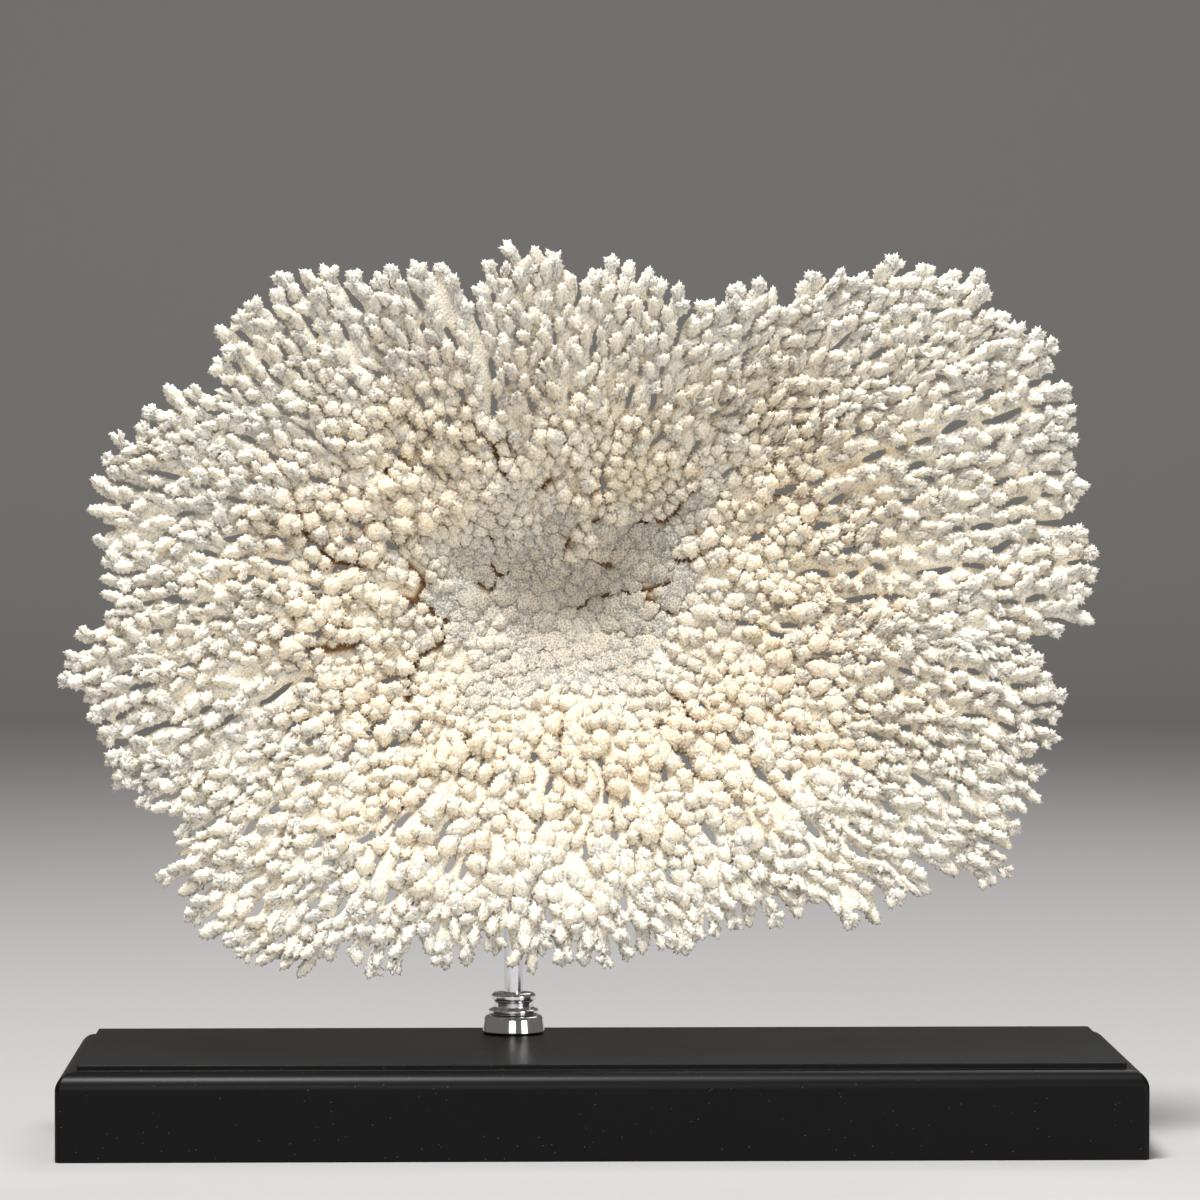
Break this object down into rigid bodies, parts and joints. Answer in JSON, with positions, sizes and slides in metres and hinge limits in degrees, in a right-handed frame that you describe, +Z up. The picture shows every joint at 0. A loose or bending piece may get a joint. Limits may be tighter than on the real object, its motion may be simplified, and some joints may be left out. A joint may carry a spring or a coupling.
{
  "type": "table coral skeleton on display stand",
  "caption": "Dished plate of fused coral branches with knobbly face and fingered rim, held upright on a chrome rod over a black moulded plinth.",
  "frame": {"origin": "centre of the plinth's underside", "axes": "+X along the plinth's width, to the right seen from the front; +Y from the front to the back; +Z up. The coral's face looks along -Y"},
  "size_m": [0.55, 0.205, 0.46],
  "materials": {
    "coral": "matte, porous, ivory with tan crevices",
    "black_paint": "satin black paint",
    "chrome": "polished"
  },
  "bodies": {
    "root": {"plinth": "black_paint", "flange": "chrome", "collar": "chrome", "rod": "chrome", "coral_hub": "coral", "fan_top": "coral", "fan_upper_right": "coral", "fan_right": "coral", "fan_lower_right": "coral", "fan_bottom_right": "coral", "fan_bottom_left": "coral", "fan_lower_left": "coral", "fan_left": "coral", "fan_upper_left": "coral", "fan_top_left": "coral"}
  },
  "joints": []
}
